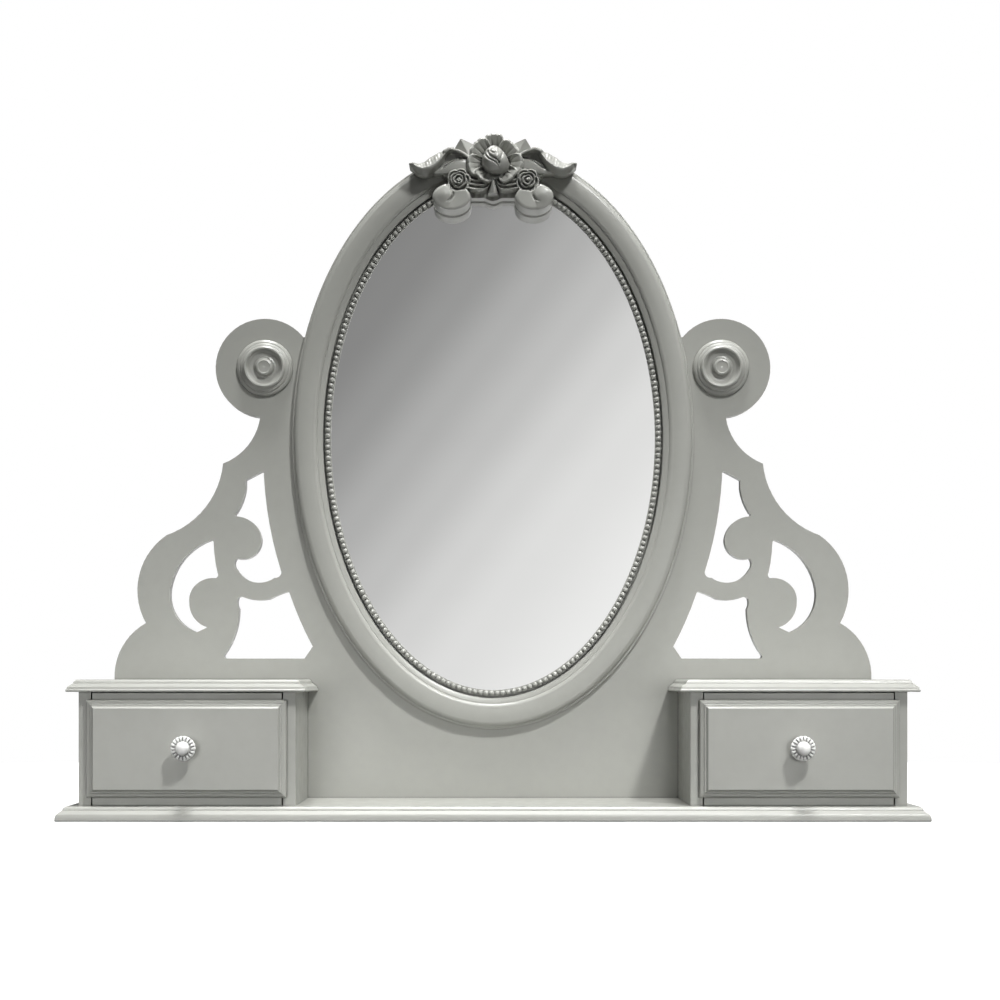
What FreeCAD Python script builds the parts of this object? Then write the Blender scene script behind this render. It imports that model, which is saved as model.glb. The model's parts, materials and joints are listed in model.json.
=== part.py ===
import FreeCAD, Part
import math
import os

# Dressing-table mirror top: a fixed oval mirror in a moulded frame, on a fretwork back panel that
# stands on a moulded base board between two small drawer cases.
#
# Millimetres. +X is to the right of someone facing the mirror, +Y is away from them and +Z is up.
# The origin is the middle of the base board's underside.
# Most pieces come in pairs: the right one is built and the left one is its mirror image.

from FreeCAD import Vector

os.makedirs("parts", exist_ok=True)

# ---------------------------------------------------------------- driving dimensions
BASE_WIDTH = 900.0
BASE_DEPTH = 181.0
BASE_THICK = 15.0
BASE_OVERHANG = 21.0        # base board beyond the case fronts and outer sides
PANEL_THICK = 15.0

CASE_WIDTH = 224.4
CASE_SIDE_HEIGHT = 118.2
SIDE_THICK = 12.7
TOP_THICK = 12.7
TOP_OVERHANG = 11.5         # case top beyond the case front and both sides

SWELL = 1.6                 # moulded edge of the base board and the case tops: how far the
SLOPE_WIDTH = 4.5           # upright face leans in, then a steep slope, a quirk and a crown
SLOPE_HEIGHT = 3.4
QUIRK = 0.5
CROWN_WIDTH = 3.2
CROWN_HEIGHT = 3.6
ARRIS = 1.0

FRONT_WIDTH = 207.0         # drawer front, a plate wider than the opening
FRONT_HEIGHT = 101.0
FRONT_THICK = 13.5
FRONT_LIFT = 8.9            # its lower edge above the base board
FRONT_EDGE = 4.9            # its thickness at the outer edge

BOX_GAP = 1.5               # between the drawer box and the case on each side
BOX_LOW_GAP = 0.5
BOX_TOP_GAP = 1.2
BOX_DEPTH = 140.0
BOX_WALL = 10.0
BOX_FRONT_THICK = 12.0
BOX_SIDE_HEIGHT = 100.0
BOTTOM_THICK = 4.0
BOTTOM_LIFT = 6.0           # underside of the drawer bottom above the drawer side's lower edge
GROOVE = 4.0

KNOB_R = 13.0
KNOB_LENGTH = 27.0
KNOB_STEM_R = 6.0
KNOB_SCREW_R = 2.0
KNOB_SCREW_IN = 13.0        # how far the knob screw reaches into the knob

RING_A = 221.2              # half width of the mirror frame's outer ellipse
RING_B = 319.9              # half height
RING_Z = 411.3              # height of its centre
RING_WIDTH = 34.1           # outer edge to sight edge
BAND_INSET = 1.0            # the panel's oval edge, in from the frame's outer edge
BEAD_INSET = 39.1           # bead centres, in from the frame's outer edge
BEAD_R = 2.9
STRIP_OUT = 36.5            # bead strip, from its outer edge to its inner edge
STRIP_IN = 42.8
STRIP_THICK = 1.6
BEAD_RISE = 3.5             # bead tops above the strip
CREST_GAP = 0.5             # between the bead tops and the back of the crest
GLASS_THICK = 4.0

LOBE = (251.8, 489.7)       # centre of the round lobe and its rosette
ROSETTE_R = 31.0

CREST_TOP_Z = 742.0
CREST_HALF_WIDTH = 91.7
CREST_DEPTH = 43.0          # over the rosebud
LEAF_THICK = 16.0
SCROLL = (45.0, 670.0)      # centre of the right-hand scroll
SCROLL_HALF_WIDTH = 21.0
SCROLL_HALF_HEIGHT = 14.5
SCROLL_DEPTH = 34.0

DOWEL_R = 3.0
DOWEL_LENGTH = 22.0
DOWEL_IN_SIDE = 14.0        # how much of a dowel is in the case side
DOWEL_END_GAP = 0.5
HOLE_SLACK = 0.05           # a plain hole's radius over its dowel's or screw's

CASE_SCREW = 45.0           # screw lengths
BASE_SCREW = 40.0
CREST_SCREW = 40.0
MIRROR_SCREW = 23.0
ROSETTE_SCREW = 21.0
FRONT_SCREW = 21.0

# ---------------------------------------------------------------- derived places
BACK_Y = BASE_DEPTH / 2
BASE_FRONT_Y = -BASE_DEPTH / 2
PANEL_Y = BACK_Y - PANEL_THICK
CASE_FRONT_Y = BASE_FRONT_Y + BASE_OVERHANG
FRONT_FACE_Y = CASE_FRONT_Y - FRONT_THICK

CASE_TOP_Z = BASE_THICK + CASE_SIDE_HEIGHT
TOP_Z = CASE_TOP_Z + TOP_THICK

CASE_OUT_X = BASE_WIDTH / 2 - BASE_OVERHANG
CASE_IN_X = CASE_OUT_X - CASE_WIDTH
OPEN_IN_X = CASE_IN_X + SIDE_THICK
OPEN_OUT_X = CASE_OUT_X - SIDE_THICK
DRAWER_X = (OPEN_IN_X + OPEN_OUT_X) / 2
BOX_IN_X = OPEN_IN_X + BOX_GAP
BOX_OUT_X = OPEN_OUT_X - BOX_GAP
BOX_LOW_Z = BASE_THICK + BOX_LOW_GAP
BOX_TOP_Z = CASE_TOP_Z - BOX_TOP_GAP
BOX_SIDE_Z = BOX_LOW_Z + BOX_SIDE_HEIGHT
BOX_INNER_Y = CASE_FRONT_Y + BOX_FRONT_THICK
BOX_BACK_Y = CASE_FRONT_Y + BOX_DEPTH
BOTTOM_Z = BOX_LOW_Z + BOTTOM_LIFT
FRONT_LOW_Z = BASE_THICK + FRONT_LIFT
KNOB_Z = FRONT_LOW_Z + FRONT_HEIGHT / 2 + 1.0

GLASS_Y = PANEL_Y - GLASS_THICK
CREST_BACK_Y = GLASS_Y - STRIP_THICK - BEAD_RISE - CREST_GAP
SIDE_MIDS = (CASE_IN_X + SIDE_THICK / 2, CASE_OUT_X - SIDE_THICK / 2)
SIDE_ROWS = (CASE_FRONT_Y + 25.0, CASE_FRONT_Y + 120.0)


# ---------------------------------------------------------------- small tools
def block(x, y, z):
    """A box from its (low, high) pair along each axis."""
    return Part.makeBox(x[1] - x[0], y[1] - y[0], z[1] - z[0], Vector(x[0], y[0], z[0]))


def rod(start, direction, radius, length):
    """A cylinder from start along direction."""
    return Part.makeCylinder(radius, length, Vector(*start), Vector(*direction))


def mirrored(shape):
    """The left-hand twin of a right-hand piece."""
    return shape.mirror(Vector(0, 0, 0), Vector(1, 0, 0))


def outline(start, steps, place):
    """A closed face: a step is (end,) for a line, or (through, end) for an arc."""
    edges = []
    here = start
    for step in steps:
        if len(step) == 1:
            edges.append(Part.LineSegment(place(here), place(step[0])).toShape())
        else:
            edges.append(Part.Arc(place(here), place(step[0]), place(step[1])).toShape())
        here = step[-1]
    if math.dist(here, start) > 1e-6:
        edges.append(Part.LineSegment(place(here), place(start)).toShape())
    return Part.Face(Part.Wire(edges))


def plate(start, steps, y):
    """An upright plate between two Y values, from its (x, z) outline."""
    face = outline(start, steps, lambda p: Vector(p[0], y[0], p[1]))
    return face.extrude(Vector(0, y[1] - y[0], 0))


def oval_wire(inset, y):
    """The mirror frame's outer ellipse drawn in by inset, upright at y, starting at its lowest point."""
    wire = Part.Wire(Part.Ellipse(Vector(0, 0, 0), RING_B - inset, RING_A - inset).toShape())
    wire.rotate(Vector(0, 0, 0), Vector(0, 0, 1), -90)
    wire.rotate(Vector(0, 0, 0), Vector(1, 0, 0), 90)
    wire.translate(Vector(0, y, RING_Z))
    return wire


def oval_plate(inset, y):
    """An upright elliptical plate between two Y values."""
    return Part.Face(oval_wire(inset, y[0])).extrude(Vector(0, y[1] - y[0], 0))


def oval_spot(inset, degrees):
    """(x, z) at a true distance inside the frame's outer ellipse; the angle turns from +X to +Z."""
    t = math.radians(degrees)
    away = Vector(RING_B * math.cos(t), 0, RING_A * math.sin(t)).normalize()
    return RING_A * math.cos(t) - inset * away.x, RING_Z + RING_B * math.sin(t) - inset * away.z


def swept(start, steps):
    """A moulding bent round the frame's outer ellipse, from its (inset, height) section."""
    spine = oval_wire(0.0, PANEL_Y)
    section = outline(start, steps, lambda p: Vector(0, PANEL_Y - p[1], RING_Z - RING_B + p[0])).OuterWire
    pipe = Part.BRepOffsetAPI.MakePipeShell(spine)
    pipe.setBiNormalMode(Vector(0, 1, 0))
    pipe.add(section, False, False)
    pipe.build()
    pipe.makeSolid()
    return Part.Solid(pipe.shape())


def turned(profile, centre, direction):
    """A turned piece from (radius, height) points; height runs from centre along direction."""
    low = (0.0, profile[0][1])
    high = (0.0, profile[-1][1])
    points = [Vector(r, 0, h) for r, h in [low, *profile, high]]
    pairs = [(a, b) for a, b in zip(points, points[1:] + points[:1]) if a.distanceToPoint(b) > 1e-6]
    edges = [Part.LineSegment(a, b).toShape() for a, b in pairs]
    solid = Part.Face(Part.Wire(edges)).revolve(Vector(0, 0, 0), Vector(0, 0, 1), 360)
    turn = FreeCAD.Rotation(Vector(0, 0, 1), Vector(*direction))
    solid.Placement = FreeCAD.Placement(Vector(*centre), turn)
    return solid


def wood_screw(head, direction, length):
    """A countersunk screw whose head is flush at head and which points along direction."""
    profile = [(3.8, 0.2), (3.8, 0.6), (1.9, 2.5), (1.9, length - 3.0), (0.4, length)]
    slot = Part.makeBox(9.0, 0.9, 1.0, Vector(-4.5, -0.45, 0.0))
    screw = turned(profile, head, direction)
    slot.Placement = screw.Placement.multiply(slot.Placement)
    return screw.cut(slot)


def screw_way(head, direction, length):
    """The countersunk hole that a wood screw sits in."""
    profile = [(4.0, -0.5), (4.0, 0.7), (2.0, 2.7), (2.0, length - 2.8), (0.6, length + 0.3)]
    return turned(profile, head, direction)


def save(name, *solids):
    """Writes one node; several solids make one group."""
    shape = solids[0] if len(solids) == 1 else Part.makeCompound(list(solids))
    shape.exportStep("parts/" + name + ".step")


def save_pair(name, *solids):
    """Writes right_NAME and its left-hand twin."""
    save("right_" + name, *solids)
    save("left_" + name, *[mirrored(solid) for solid in solids])


# ---------------------------------------------------------------- screws
def back_screws():
    """Screws through the back panel into the right-hand case: (head, length)."""
    sides = [(x, BACK_Y, z) for x in SIDE_MIDS for z in (BASE_THICK + 30, BASE_THICK + 90)]
    return [(place, CASE_SCREW) for place in sides + [(DRAWER_X, BACK_Y, CASE_TOP_Z + TOP_THICK / 2)]]


def base_screws():
    """Screws up through the base board into the right-hand case sides and the panel's right half."""
    sides = [(x, y, 0.0) for x in SIDE_MIDS for y in SIDE_ROWS]
    panel = [(x, BACK_Y - PANEL_THICK / 2, 0.0) for x in (60.0, DRAWER_X)]
    return [(place, BASE_SCREW) for place in sides + panel]


def mirror_screws():
    """Screws through the panel into the mirror frame, right half."""
    places = [oval_spot(15.0, angle) for angle in (-70, -35, 0, 35, 62)]
    return [((x, BACK_Y, z), MIRROR_SCREW) for x, z in places]


def rosette_screw():
    return (LOBE[0], BACK_Y, LOBE[1]), ROSETTE_SCREW


def crest_screws():
    """Screws through the panel and the frame into the carving, right half."""
    return [((20.0, BACK_Y, RING_Z + RING_B - 18.0), CREST_SCREW)]


def dowels(end_gap=0.0, slack=0.0):
    """Dowels between the right-hand case sides and their top, or their holes if given a slack."""
    places = [(x, y, CASE_TOP_Z - DOWEL_IN_SIDE - end_gap) for x in SIDE_MIDS for y in SIDE_ROWS]
    return [rod(place, (0, 0, 1), DOWEL_R + slack, DOWEL_LENGTH + 2 * end_gap) for place in places]


def dowel_ways():
    return dowels(DOWEL_END_GAP, HOLE_SLACK)


def drilled(shape, screws, direction, both_sides=False):
    """The shape with a way cut for each screw, and for the left-hand twins too if asked."""
    ways = [screw_way(head, direction, length) for head, length in screws]
    if both_sides:
        ways += [mirrored(way) for way in ways]
    return shape.cut(ways)


def screw_set(screws, direction, both_sides=True):
    """The screws themselves, with their left-hand twins."""
    solids = [wood_screw(head, direction, length) for head, length in screws]
    if both_sides:
        solids += [mirrored(solid) for solid in solids]
    return solids


# ---------------------------------------------------------------- boards with a moulded edge
def moulded_slab(reach, run, thick, lip):
    """A slab along +X whose -Y edge is moulded: lip, leaning face, steep slope, quirk and crown."""
    shoulder = thick - CROWN_HEIGHT - QUIRK
    foot = shoulder - SLOPE_HEIGHT
    edge = SWELL + SLOPE_WIDTH
    back = edge + QUIRK
    lean = (0.65 * lip + 0.35 * SWELL, 0.35 * ARRIS + 0.65 * foot)
    crown = (back + 0.42 * CROWN_WIDTH, thick - 0.36 * CROWN_HEIGHT)
    steps = [
        ((0.3 * ARRIS, 0.3 * ARRIS), (0.0, ARRIS)),
        ((0.0, 2 * ARRIS),),
        ((lip, 2 * ARRIS + lip),),
        (lean, (SWELL, foot)),
        ((edge, shoulder),),
        ((back, shoulder),),
        ((back, shoulder + QUIRK),),
        (crown, (back + CROWN_WIDTH, thick)),
        ((reach, thick),),
        ((reach, 0.0),),
    ]
    face = outline((ARRIS, 0.0), steps, lambda p: Vector(0, p[0], p[1]))
    return face.extrude(Vector(run, 0, 0))


def moulded_board(x, y, low_z, thick, lip=0.05):
    """A board moulded on its front and both ends with mitred corners; its back edge is square.

    It is what three moulded slabs share, one for the front edge and one for each end.
    """
    width = x[1] - x[0]
    depth = y[1] - y[0]
    front = moulded_slab(depth, width, thick, lip)
    front.translate(Vector(x[0], y[0], low_z))
    end = moulded_slab(width, depth, thick, lip)
    end.rotate(Vector(0, 0, 0), Vector(0, 0, 1), -90)
    end.translate(Vector(x[0], y[1], low_z))
    other_end = end.mirror(Vector((x[0] + x[1]) / 2, 0, 0), Vector(1, 0, 0))
    return front.common(end).common(other_end)


def base_board():
    half = BASE_WIDTH / 2
    board = moulded_board((-half, half), (BASE_FRONT_Y, BACK_Y), 0.0, BASE_THICK)
    return drilled(board, base_screws(), (0, 0, 1), True)


def case_top():
    x = (CASE_IN_X - TOP_OVERHANG, CASE_OUT_X + TOP_OVERHANG)
    top = moulded_board(x, (CASE_FRONT_Y - TOP_OVERHANG, PANEL_Y), CASE_TOP_Z, TOP_THICK, 0.8)
    return drilled(top.cut(dowel_ways()), back_screws(), (0, -1, 0))


def case_side(low_x):
    side = block((low_x, low_x + SIDE_THICK), (CASE_FRONT_Y, PANEL_Y), (BASE_THICK, CASE_TOP_Z))
    side = drilled(side.cut(dowel_ways()), back_screws(), (0, -1, 0))
    return drilled(side, base_screws(), (0, 0, 1))


# ---------------------------------------------------------------- fretwork back panel
# Half of the outline, from the middle of the foot round to the middle behind the mirror.
PANEL_EDGE = [
    ((CASE_OUT_X, BASE_THICK),),
    ((CASE_OUT_X, TOP_Z),),
    ((417.9, TOP_Z),),
    ((409.5, 181.9), (383.3, 208.2)),
    ((390.7, 261.5), (360.4, 305.3)),
    ((317.4, 336.1), (298.1, 384.3)),
    ((270.6, 404.3), (257.1, 435.5)),
    ((306.3, 489.7), (210.6, 525.3)),
    ((208.1, 523.8), (205.6, 526.4)),
    ((194.7, 544.3),),
    ((0.0, 544.3),),
]

# The J-shaped hole beside the mirror, cut round the upper curl.
UPPER_HOLE = [
    ((255.8, 375.5),),
    ((253.8, 375.0), (253.1, 371.8)),
    ((246.9, 317.7), (233.8, 264.7)),
    ((235.5, 260.1), (241.1, 258.3)),
    ((263.1, 253.2), (283.2, 267.5)),
    ((285.5, 273.6), (283.2, 279.5)),
    ((264.2, 282.8), (255.8, 300.4)),
    ((263.9, 317.5), (283.2, 326.0)),
    ((284.7, 327.7), (283.2, 329.7)),
    ((276.7, 342.5), (273.1, 357.1)),
    ((273.1, 366.3),),
]

# The crescent between the outer scroll and the lower curl.
OUTER_HOLE = [
    ((309.4, 299.1), (311.6, 299.8)),
    ((340.4, 280.3), (356.5, 245.5)),
    ((351.4, 217.9), (327.1, 197.9)),
    ((315.7, 203.4),),
    ((330.1, 213.8), (335.4, 230.9)),
    ((332.6, 244.8), (325.3, 252.8)),
    ((316.0, 257.2), (305.9, 257.8)),
    ((304.2, 259.4), (304.3, 263.9)),
    ((307.0, 278.5), (308.5, 296.7)),
]

# The skirt-shaped hole above the drawer case.
LOWER_HOLE = [
    ((294.2, 169.0),),
    ((296.8, 170.0), (297.0, 172.4)),
    ((285.5, 193.9), (280.4, 223.6)),
    ((282.4, 230.4), (281.8, 234.5)),
    ((280.3, 236.7), (277.1, 237.2)),
    ((261.6, 233.5), (246.7, 234.5)),
    ((237.6, 239.0), (227.4, 242.7)),
    ((225.6, 242.3), (224.6, 240.9)),
    ((213.0, 210.9), (199.1, 182.3)),
    ((208.2, 169.0),),
]


def back_panel():
    wing = plate((0.0, BASE_THICK), PANEL_EDGE, (PANEL_Y, BACK_Y))
    for edge in (UPPER_HOLE, OUTER_HOLE, LOWER_HOLE):
        wing = wing.cut(plate(edge[-1][-1], edge, (PANEL_Y - 1, BACK_Y + 1)))
    panel = wing.fuse([mirrored(wing), oval_plate(BAND_INSET, (PANEL_Y, BACK_Y))]).removeSplitter()
    panel = drilled(panel, back_screws() + mirror_screws() + crest_screws(), (0, -1, 0), True)
    panel = drilled(panel, [rosette_screw()], (0, -1, 0), True)
    return drilled(panel, base_screws(), (0, 0, 1), True)


# ---------------------------------------------------------------- mirror
def frame_blank():
    """The oval frame before it is drilled; its front is a broad low round between two steps."""
    steps = [
        ((0.0, 5.7),),
        ((0.25, 6.2), (0.8, 6.5)),
        ((1.9, 6.6),),
        ((2.1, 7.4),),
        ((3.7, 10.6), (7.4, 12.6)),
        ((15.0, 13.5), (22.4, 12.9)),
        ((25.7, 12.1), (27.3, 10.6)),
        ((27.5, 9.6),),
        ((28.7, 9.5),),
        ((31.2, 8.8), (33.2, 7.8)),
        ((33.8, 7.5), (RING_WIDTH, 7.0)),
        ((RING_WIDTH, 0.0),),
    ]
    return swept((0.0, 0.0), steps)


def mirror_frame(blank):
    return drilled(blank, mirror_screws() + crest_screws(), (0, -1, 0), True)


def mirror_glass():
    return oval_plate(STRIP_OUT + 0.5, (GLASS_Y, GLASS_Y + GLASS_THICK))


def bead_moulding():
    """A flat strip on the edge of the glass that carries a row of beads."""
    base = PANEL_Y - GLASS_Y
    face = base + STRIP_THICK
    top = face + BEAD_RISE
    steps = [
        ((STRIP_OUT, face),),
        ((BEAD_INSET - BEAD_R + 0.7, face),),
        ((BEAD_INSET, top), (BEAD_INSET + BEAD_R - 0.7, face)),
        ((STRIP_IN, face),),
        ((STRIP_IN, base),),
    ]
    return swept((STRIP_OUT, base), steps)


# ---------------------------------------------------------------- applied ornament
def rosette():
    """A turned bullseye: stepped rim, a raised ring, a dish and a flat-topped boss."""
    profile = [
        (ROSETTE_R, 0.0), (ROSETTE_R, 1.8), (30.2, 3.2), (28.4, 4.6), (26.8, 5.0), (26.4, 6.4),
        (24.8, 7.4), (23.6, 7.8), (23.0, 9.6), (21.4, 10.8), (19.8, 10.4), (18.4, 8.4), (15.8, 6.2),
        (12.6, 5.4), (10.8, 6.2), (9.8, 8.6), (8.4, 10.2), (6.8, 10.8), (6.2, 10.2), (0.0, 10.0),
    ]
    disc = turned(profile, (LOBE[0], PANEL_Y, LOBE[1]), (0, -1, 0))
    return drilled(disc, [rosette_screw()], (0, -1, 0))


def dome(centre_x, centre_z, back_y, half_width, half_height, rise):
    """A raised oval boss that stands on back_y."""
    ball = Part.makeSphere(1.0)
    grow = FreeCAD.Matrix()
    grow.scale(half_width, rise, half_height)
    ball = ball.transformGeometry(grow)
    ball.translate(Vector(centre_x, back_y, centre_z))
    return ball


def scroll():
    """The right-hand volute: an oval block that comes out over the glass."""
    wire = Part.Wire(Part.Ellipse(Vector(0, 0, 0), SCROLL_HALF_WIDTH, SCROLL_HALF_HEIGHT).toShape())
    face = Part.Face(wire)
    face.rotate(Vector(0, 0, 0), Vector(1, 0, 0), 90)
    face.translate(Vector(SCROLL[0], CREST_BACK_Y, SCROLL[1]))
    return face.extrude(Vector(0, -SCROLL_DEPTH, 0))


def carved_crest(frame):
    """The carving over the top of the frame: open rose, two small roses, leaves and scrolls."""
    leaf_steps = [
        ((CREST_HALF_WIDTH, 701.0),),
        ((CREST_HALF_WIDTH, 709.0),),
        ((82.0, 703.5), (73.0, 707.0)),
        ((62.0, 719.0), (44.0, 726.0)),
        ((36.0, 737.0),),
        ((27.0, 727.5),),
        ((13.0, 734.5), (0.0, CREST_TOP_Z)),
    ]
    leaves = plate((0.0, 690.0), leaf_steps, (CREST_BACK_Y - LEAF_THICK, CREST_BACK_Y))
    apron = block((0.0, SCROLL[0]), (CREST_BACK_Y - 24.0, CREST_BACK_Y), (666.0, 694.0))
    small_rose = dome(37.5, 689.5, CREST_BACK_Y - LEAF_THICK, 12.0, 12.0, 21.0)
    petals = dome(0.0, 712.0, CREST_BACK_Y - 10.0, 32.0, 29.0, 22.0)
    bud = dome(2.0, 710.5, CREST_BACK_Y - 12.0, 14.0, 16.0, CREST_DEPTH - 12.0)
    right = leaves.fuse([scroll(), apron, small_rose])
    crest = right.fuse([mirrored(right), petals, bud])
    across = (-CREST_HALF_WIDTH, CREST_HALF_WIDTH)
    along = (CREST_BACK_Y - CREST_DEPTH, CREST_BACK_Y)
    crest = crest.common(block(across, along, (SCROLL[1] - SCROLL_HALF_HEIGHT, CREST_TOP_Z)))
    crest = max(crest.cut(frame).Solids, key=lambda solid: solid.Volume)
    return drilled(crest, crest_screws(), (0, -1, 0), True)


# ---------------------------------------------------------------- drawers
def drawer_front():
    """A raised field in a moulded border with mitred corners, which laps over the case sides."""
    border = [
        (0.0, FRONT_EDGE), (0.5, FRONT_EDGE + 1.2), (1.6, FRONT_EDGE + 2.2), (3.3, FRONT_EDGE + 2.8),
        (4.1, FRONT_EDGE + 2.9), (4.6, FRONT_EDGE + 4.4), (5.4, FRONT_EDGE + 5.1), (6.5, FRONT_EDGE + 5.2),
        (6.9, FRONT_EDGE + 6.3), (7.6, FRONT_EDGE + 7.6), (8.7, FRONT_THICK),
    ]

    def slab(length, width):
        """A bar along +X, moulded on both long edges and facing -Y."""
        low = [(inset, depth) for inset, depth in border]
        high = [(width - inset, depth) for inset, depth in border[::-1]]
        steps = [(point,) for point in low + high + [(width, 0.0)]]
        face = outline((0.0, 0.0), steps, lambda p: Vector(0, -p[1], p[0]))
        return face.extrude(Vector(length, 0, 0))

    low_x = DRAWER_X - FRONT_WIDTH / 2
    wide = slab(FRONT_WIDTH, FRONT_HEIGHT)
    wide.translate(Vector(low_x, CASE_FRONT_Y, FRONT_LOW_Z))
    tall = slab(FRONT_HEIGHT, FRONT_WIDTH)
    tall.rotate(Vector(0, 0, 0), Vector(0, 1, 0), -90)
    tall.translate(Vector(low_x + FRONT_WIDTH, CASE_FRONT_Y, FRONT_LOW_Z))
    front = wide.common(tall)
    front = front.cut(knob_screw_way())
    return drilled(front, front_screws(), (0, -1, 0))


def front_screws():
    """Screws from inside the box into the drawer front."""
    return [((DRAWER_X + s * 70.0, BOX_INNER_Y, KNOB_Z), FRONT_SCREW) for s in (1, -1)]


def box_front():
    body = block((BOX_IN_X, BOX_OUT_X), (CASE_FRONT_Y, BOX_INNER_Y), (BOX_LOW_Z, BOX_TOP_Z))
    body = body.cut(box_bottom(0.1)).cut(knob_screw_way())
    return drilled(body, front_screws(), (0, -1, 0))


def box_side(low_x):
    side = block((low_x, low_x + BOX_WALL), (BOX_INNER_Y, BOX_BACK_Y), (BOX_LOW_Z, BOX_SIDE_Z))
    return side.cut(box_bottom(0.1))


def box_back():
    x = (BOX_IN_X + BOX_WALL, BOX_OUT_X - BOX_WALL)
    return block(x, (BOX_BACK_Y - BOX_WALL, BOX_BACK_Y), (BOTTOM_Z + BOTTOM_THICK + 0.1, BOX_SIDE_Z))


def box_bottom(slack=0.0):
    """The thin bottom, which slides into grooves in the sides and the box front."""
    x = (BOX_IN_X + BOX_WALL - GROOVE - slack, BOX_OUT_X - BOX_WALL + GROOVE + slack)
    y = (BOX_INNER_Y - GROOVE - slack, BOX_BACK_Y + slack)
    return block(x, y, (BOTTOM_Z - slack, BOTTOM_Z + BOTTOM_THICK + slack))


def knob():
    """A turned knob: round rim with a hollow face and a domed button in the middle."""
    profile = [
        (7.5, 0.0), (7.5, 1.2), (KNOB_STEM_R, 2.4), (5.4, 6.0), (6.2, 8.6), (10.2, 10.6), (12.5, 12.4),
        (KNOB_R, 14.4), (12.4, 16.4), (11.0, 17.6), (9.0, 18.4), (7.4, 19.4), (6.9, 21.2), (6.2, 23.6),
        (4.8, 25.6), (2.6, 26.7), (0.0, KNOB_LENGTH),
    ]
    body = turned(profile, (DRAWER_X, FRONT_FACE_Y, KNOB_Z), (0, -1, 0))
    return body.cut(knob_screw_way())


def knob_screw():
    start = (DRAWER_X, BOX_INNER_Y + 2.6, KNOB_Z)
    length = BOX_FRONT_THICK + FRONT_THICK + KNOB_SCREW_IN
    head = turned([(4.4, 0.0), (4.4, 1.2), (3.2, 2.3), (3.2, 2.6)], start, (0, -1, 0))
    shank = rod((DRAWER_X, BOX_INNER_Y, KNOB_Z), (0, -1, 0), KNOB_SCREW_R, length)
    across = (DRAWER_X - 5, DRAWER_X + 5)
    slot = block(across, (BOX_INNER_Y + 1.6, BOX_INNER_Y + 3), (KNOB_Z - 0.5, KNOB_Z + 0.5))
    return head.fuse(shank).cut(slot)


def knob_screw_way():
    length = BOX_FRONT_THICK + FRONT_THICK + KNOB_SCREW_IN + 0.2
    return rod((DRAWER_X, BOX_INNER_Y, KNOB_Z), (0, -1, 0), KNOB_SCREW_R + HOLE_SLACK, length)


# ---------------------------------------------------------------- write every node
frame_body = frame_blank()

save("base_board", base_board())
save("back_panel", back_panel())
save("mirror_frame", mirror_frame(frame_body))
save("mirror_glass", mirror_glass())
save("bead_moulding", bead_moulding())
save("carved_crest", carved_crest(frame_body))
save_pair("rosette", rosette())
save_pair("case_inner_side", case_side(CASE_IN_X))
save_pair("case_outer_side", case_side(OPEN_OUT_X))
save_pair("case_top", case_top())

save("case_dowels", *dowels(), *[mirrored(dowel) for dowel in dowels()])
save("base_screws", *screw_set(base_screws(), (0, 0, 1)))
save("case_back_screws", *screw_set(back_screws(), (0, -1, 0)))
save("mirror_screws", *screw_set(mirror_screws() + crest_screws(), (0, -1, 0)))
save("rosette_screws", *screw_set([rosette_screw()], (0, -1, 0)))

save_pair("drawer_front", drawer_front())
save_pair("box_front", box_front())
save_pair("box_inner_side", box_side(BOX_IN_X))
save_pair("box_outer_side", box_side(BOX_OUT_X - BOX_WALL))
save_pair("box_back", box_back())
save_pair("box_bottom", box_bottom())
save_pair("knob", knob())
save_pair("knob_screw", knob_screw())
save_pair("front_screws", *screw_set(front_screws(), (0, -1, 0), False))
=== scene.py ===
import json
import math

import bpy
import numpy as np
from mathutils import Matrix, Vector

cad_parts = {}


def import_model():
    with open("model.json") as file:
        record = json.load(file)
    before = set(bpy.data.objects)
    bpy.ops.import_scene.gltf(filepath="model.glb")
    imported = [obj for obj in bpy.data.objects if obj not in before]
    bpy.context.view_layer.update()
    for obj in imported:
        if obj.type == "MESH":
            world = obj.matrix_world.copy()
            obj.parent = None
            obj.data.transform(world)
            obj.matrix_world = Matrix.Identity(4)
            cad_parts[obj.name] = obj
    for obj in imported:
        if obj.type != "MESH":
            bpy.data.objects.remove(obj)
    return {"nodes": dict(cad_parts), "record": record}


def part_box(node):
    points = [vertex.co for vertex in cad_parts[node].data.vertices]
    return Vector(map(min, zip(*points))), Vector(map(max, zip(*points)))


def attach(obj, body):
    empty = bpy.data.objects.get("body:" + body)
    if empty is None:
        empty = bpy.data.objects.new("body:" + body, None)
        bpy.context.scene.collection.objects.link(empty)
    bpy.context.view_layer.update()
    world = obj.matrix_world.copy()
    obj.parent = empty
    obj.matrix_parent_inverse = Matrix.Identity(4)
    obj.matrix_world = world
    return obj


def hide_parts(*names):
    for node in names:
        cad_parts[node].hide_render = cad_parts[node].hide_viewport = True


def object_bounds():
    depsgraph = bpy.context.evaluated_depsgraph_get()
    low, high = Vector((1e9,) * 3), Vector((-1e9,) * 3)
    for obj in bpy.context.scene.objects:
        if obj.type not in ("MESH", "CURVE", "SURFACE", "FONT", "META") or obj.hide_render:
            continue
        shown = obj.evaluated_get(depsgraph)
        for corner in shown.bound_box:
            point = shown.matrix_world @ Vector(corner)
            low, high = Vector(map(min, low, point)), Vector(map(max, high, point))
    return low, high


# The looks of a dressing-table mirror top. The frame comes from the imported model: this script
# adds materials and lights, and replaces the row of beads, the knobs and the carved crest.

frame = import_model()
cad_low, cad_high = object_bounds()
MM = 0.001
SIDES = ("left", "right")


# ---------------------------------------------------------------- node helpers
EDGE_FLAT = 0.97            # how well the bevelled and true normals agree on a flat face
# below this share of open air the painted crevice shade is at its full amount
CREVICE = 0.2               # the share of open air that counts as a full crevice


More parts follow.
